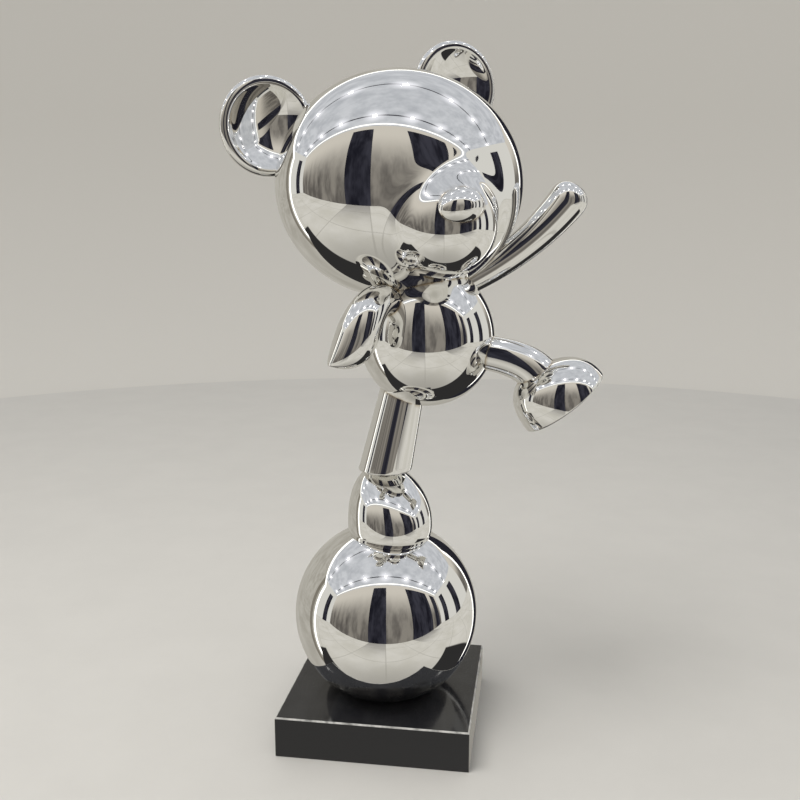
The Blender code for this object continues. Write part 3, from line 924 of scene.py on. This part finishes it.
class Room:
    """Where each reflected ray meets the room's surfaces, and which of them it meets."""

    def __init__(self, graph, direction):
        self.graph = graph
        self.direction = direction
        axes = (ROOM_RIGHT, ROOM_AWAY, Vector((0, 0, 1)))
        self.across, self.away, self.up = (self.along(axis) for axis in axes)
        runs = (self.run(self.across, ROOM_SIDE, ROOM_SIDE), self.run(self.away, ROOM_FRONT, ROOM_BACK),
                self.run(self.up, ROOM_BOTTOM, ROOM_TOP))
        reach = graph.calc("MINIMUM", graph.calc("MINIMUM", runs[0], runs[1]), runs[2])
        self.px, self.py, self.pz = (graph.calc("MULTIPLY", part, reach)
                                     for part in (self.across, self.away, self.up))
        self.ceiling = graph.calc("GREATER_THAN", self.pz, ROOM_TOP - ROOM_SLACK)
        self.ground = graph.calc("LESS_THAN", self.pz, ROOM_SLACK - ROOM_BOTTOM)
        upright = graph.calc("SUBTRACT", 1.0, graph.calc("MAXIMUM", self.ceiling, self.ground))
        self.front_wall = graph.both(upright, graph.calc("LESS_THAN", self.py, ROOM_SLACK - ROOM_FRONT))
        self.side_wall = graph.both(
            upright, graph.calc("GREATER_THAN", graph.calc("ABSOLUTE", self.px), ROOM_SIDE - ROOM_SLACK))
        place = graph.node("ShaderNodeCombineXYZ")
        for socket, part in zip(place.inputs, (self.px, self.py, self.pz)):
            graph.feed(socket, part)
        streaks = graph.node("ShaderNodeMapping")
        streaks.inputs["Scale"].default_value = (3.5, 3.5, 1.1)
        graph.feed(streaks.inputs["Vector"], place.outputs[0])
        self.busy = graph.smooth(graph.noise(1.0, 3, 0.6, streaks.outputs[0]), 0.35, 0.65)
        self.cloudy = graph.smooth(graph.noise(2.2, 4, 0.6, place.outputs[0]), 0.3, 0.7)

    def along(self, axis):
        """How much of the ray's direction runs along an axis."""
        made = self.graph.node("ShaderNodeVectorMath", operation="DOT_PRODUCT")
        self.graph.feed(made.inputs[0], self.direction)
        made.inputs[1].default_value = axis
        return made.outputs["Value"]

    def run(self, part, low, high):
        """How far a ray runs before it meets the surface that it heads for on one axis."""
        ahead = self.graph.calc("GREATER_THAN", part, 0.0)
        surface = self.graph.calc("MULTIPLY_ADD", ahead, high - low, low)
        steepness = self.graph.calc("MAXIMUM", self.graph.calc("ABSOLUTE", part), 1e-4)
        return self.graph.calc("DIVIDE", surface, steepness)

    def length(self, one, other):
        """Length of a flat vector from its two parts."""
        squares = (self.graph.calc("MULTIPLY", part, part) for part in (one, other))
        return self.graph.calc("SQRT", self.graph.calc("ADD", *squares))

    def walls(self):
        """Far walls that pale upwards, paler side walls and a clouded ceiling."""
        graph = self.graph
        far = graph.mixed(self.busy, FAR_WALL_TONE, FAR_WALL_DARK)
        colour = graph.mixed(graph.smooth(self.pz, 0.1, 1.4), far, FAR_WALL_PALE)
        colour = graph.mixed(self.side_wall, colour, SIDE_WALL_TONE)
        return graph.mixed(self.ceiling, colour, graph.mixed(self.cloudy, CEILING_TONE, CEILING_PALE))

    def with_ground(self, colour):
        """Pale jointed floor, with a painted shadow that darkens it under the ball, and faint reflections of
        the front openings.
        """
        graph = self.graph
        floor = graph.mixed(self.cloudy, GROUND_TONE, GROUND_PALE)
        joints = 0.0
        for part in (self.px, self.py):
            near_joint = graph.calc("LESS_THAN", graph.calc("PINGPONG", part, TILE_SIDE / 2), JOINT_HALF_WIDTH)
            joints = graph.calc("MAXIMUM", joints, near_joint)
        floor = graph.mixed(graph.both(joints, 0.45), floor, JOINT_TONE)
        mirrored = graph.calc("MAXIMUM", graph.within(self.px, -0.50, 0.0), graph.within(self.px, 0.90, 2.3))
        mirrored = graph.both(mirrored, graph.smooth(self.py, -0.45, -ROOM_FRONT), 0.55)
        floor = graph.mixed(mirrored, floor, MIRRORED_TONE)
        # Painted shadow: the floor darkens towards the spot under the ball.
        outwards = graph.smooth(self.length(self.px, self.py), 0.05, 0.60)
        return graph.mixed(self.ground, colour, graph.mixed(outwards, SHADOW_UNDER_TONE, floor))

    def with_openings(self, colour):
        """Tall dark openings in the front and side walls."""
        graph = self.graph
        for wall, place, lintel, openings in ((self.front_wall, self.px, FRONT_LINTEL, FRONT_OPENINGS),
                                              (self.side_wall, self.py, SIDE_LINTEL, SIDE_OPENINGS)):
            below = graph.calc("LESS_THAN", self.pz, lintel)
            for low, high in openings:
                opening = graph.both(wall, graph.within(place, low, high), below)
                colour = graph.mixed(opening, colour, graph.mixed(self.busy, OPENING_TONE, OPENING_PALE))
        return colour

    def with_lamps(self, colour, spots):
        """Bright cove line along the front of the ceiling, and rows of lamps in dark slots."""
        graph = self.graph
        cove = graph.both(self.ceiling, graph.within(self.py, 0.05 - ROOM_FRONT, 0.11 - ROOM_FRONT))
        colour = graph.mixed(cove, colour, COVE_TONE)
        for row in LAMP_ROWS:
            in_row = graph.within(self.py, row - SLOT_HALF_WIDTH, row + SLOT_HALF_WIDTH)
            slot = graph.both(self.ceiling, in_row)
            colour = graph.mixed(slot, colour, SLOT_TONE)
            pitch = 2 * ROOM_SIDE / spots
            wrapped = graph.calc("PINGPONG", graph.calc("ADD", self.px, row), pitch / 2)
            spread = self.length(wrapped, graph.calc("SUBTRACT", self.py, row))
            glow = graph.both(self.ceiling, graph.smooth(spread, 0.04, 0.34, 1.0, 0.0))
            colour = graph.mixed(graph.calc("MULTIPLY", glow, 0.5), colour, GLOW_TONE)
            lamp = graph.both(self.ceiling, graph.calc("LESS_THAN", spread, LAMP_RADIUS))
            colour = graph.mixed(lamp, colour, LAMP_TONE)
        return colour

    def with_near_wall(self, colour):
        """Dark ground behind the sculpture, and a straight near wall in a bright trim, turned a little."""
        graph = self.graph
        shaded = graph.both(graph.smooth(self.up, -0.52, -0.54), graph.smooth(self.away, -0.10, -0.08))
        colour = graph.mixed(shaded, colour, SHADED_TONE)
        ahead = ROOM_AWAY * math.cos(NEAR_WALL_TURN) - ROOM_RIGHT * math.sin(NEAR_WALL_TURN)
        aside = ROOM_RIGHT * math.cos(NEAR_WALL_TURN) + ROOM_AWAY * math.sin(NEAR_WALL_TURN)
        facing = graph.calc("MAXIMUM", self.along(ahead), 1e-4)
        sideways = graph.calc("DIVIDE", self.along(aside), facing)
        upward = graph.calc("DIVIDE", self.up, facing)
        off_centre = graph.calc("ABSOLUTE", sideways)
        trimmed = graph.both(graph.calc("LESS_THAN", off_centre, 1.93), graph.within(upward, -1.6, 0.79))
        panel = graph.both(graph.calc("LESS_THAN", off_centre, 1.66), graph.within(upward, -1.6, 0.70))
        face = graph.mixed(self.cloudy, NEAR_WALL_TONE, NEAR_WALL_PALE)
        face = graph.mixed(graph.both(graph.within(sideways, -1.48, -1.22), 0.75), face, NEAR_WALL_BAND)
        face = graph.mixed(graph.calc("GREATER_THAN", sideways, 0.90), face, NEAR_WALL_DARK)
        return graph.mixed(panel, graph.mixed(trimmed, colour, TRIM_TONE), face)


def add_room_light(settings):
    """World light: a room of plain coloured areas for the chrome, and one even tone for everything dull."""
    world = bpy.data.worlds.new("studio_room")
    bpy.context.scene.world = world
    world.use_nodes = True
    graph = Graph(world.node_tree)
    room = Room(graph, graph.node("ShaderNodeTexCoord").outputs["Generated"])
    colour = room.with_openings(room.with_ground(room.walls()))
    colour = room.with_near_wall(room.with_lamps(colour, settings.spots))
    path = graph.node("ShaderNodeLightPath").outputs
    dull = graph.calc("GREATER_THAN", path["Diffuse Depth"], 0.5)
    tone = graph.mixed(dull, colour, AMBIENT_TONE)
    background = world.node_tree.nodes["Background"]
    tone = graph.mixed(path["Is Camera Ray"], tone, tuple(settings.wall_colour))
    graph.feed(background.inputs["Color"], tone)
    gain = graph.calc("MULTIPLY_ADD", dull, settings.ambient - settings.room_gain, settings.room_gain)
    graph.feed(background.inputs["Strength"], gain)


def add_key_light(settings):
    """Overhead softbox for a soft shadow. The chrome reflects the room instead of it."""
    lamp = bpy.data.lights.new("overhead_softbox", "AREA")
    lamp.shape = "DISK"
    lamp.size = 1.3
    lamp.energy = settings.key_power
    lamp.color = (1.0, 0.985, 0.96)
    place = bpy.data.objects.new("overhead_softbox", lamp)
    place.location = (-0.5, -0.7, 2.2)
    place.rotation_euler = (Vector((0, 0, 0.35)) - place.location).to_track_quat("-Z", "Y").to_euler()
    place.visible_camera = False
    place.visible_glossy = False
    bpy.context.scene.collection.objects.link(place)


def add_camera():
    """The photograph's viewpoint, with no shift and no depth of field."""
    lens = bpy.data.cameras.new("photo_camera")
    lens.sensor_width = SENSOR_MM
    lens.lens = CAMERA_LENS_MM
    camera = bpy.data.objects.new("photo_camera", lens)
    camera.location = CAMERA_PLACE
    camera.rotation_euler = Vector(CAMERA_SIGHT).to_track_quat("-Z", "Y").to_euler()
    bpy.context.scene.collection.objects.link(camera)
    bpy.context.scene.camera = camera


class SCULPTURE_OT_add_studio(Operator):
    """Pale floor and backdrop, soft light and the camera"""

    bl_idname = "sculpture.add_studio"
    bl_label = "Add studio"

    def execute(self, context):
        settings = context.scene.studio_settings
        add_floor(settings)
        add_room_light(settings)
        add_key_light(settings)
        add_camera()
        context.scene.view_settings.view_transform = "Standard"
        return {"FINISHED"}


class SCULPTURE_PT_panel(Panel):
    """Sizes, finishes and pieces of the sculpture"""

    bl_label = "Teddy bear sculpture"
    bl_idname = "SCULPTURE_PT_panel"
    bl_space_type = "VIEW_3D"
    bl_region_type = "UI"
    bl_category = "Sculpture"

    def draw(self, context):
        for title in SETTINGS:
            settings = getattr(context.scene, title)
            box = self.layout.box()
            box.label(text=title.replace("_", " ").capitalize())
            for name in settings.__annotations__:
                box.prop(settings, name)
        for operator in OPERATORS:
            self.layout.operator(operator.bl_idname)


SETTINGS = {
    "sculpture_sizes": SculptureSizes,
    "chrome_finish": ChromeFinish,
    "lacquer_finish": LacquerFinish,
    "studio_settings": StudioSettings,
}
OPERATORS = (SCULPTURE_OT_add_studio, SCULPTURE_OT_add_plinth, SCULPTURE_OT_add_ball, SCULPTURE_OT_add_bear)
CLASSES = (*SETTINGS.values(), *OPERATORS, SCULPTURE_PT_panel)


def register():
    for each in CLASSES:
        bpy.utils.register_class(each)
    for name, group in SETTINGS.items():
        setattr(bpy.types.Scene, name, PointerProperty(type=group))


def unregister():
    for name in SETTINGS:
        delattr(bpy.types.Scene, name)
    for each in reversed(CLASSES):
        bpy.utils.unregister_class(each)


def main():
    register()
    bpy.ops.sculpture.add_studio()
    bpy.ops.sculpture.add_plinth()
    bpy.ops.sculpture.add_ball()
    bpy.ops.sculpture.add_bear()


if __name__ == "__main__":
    main()
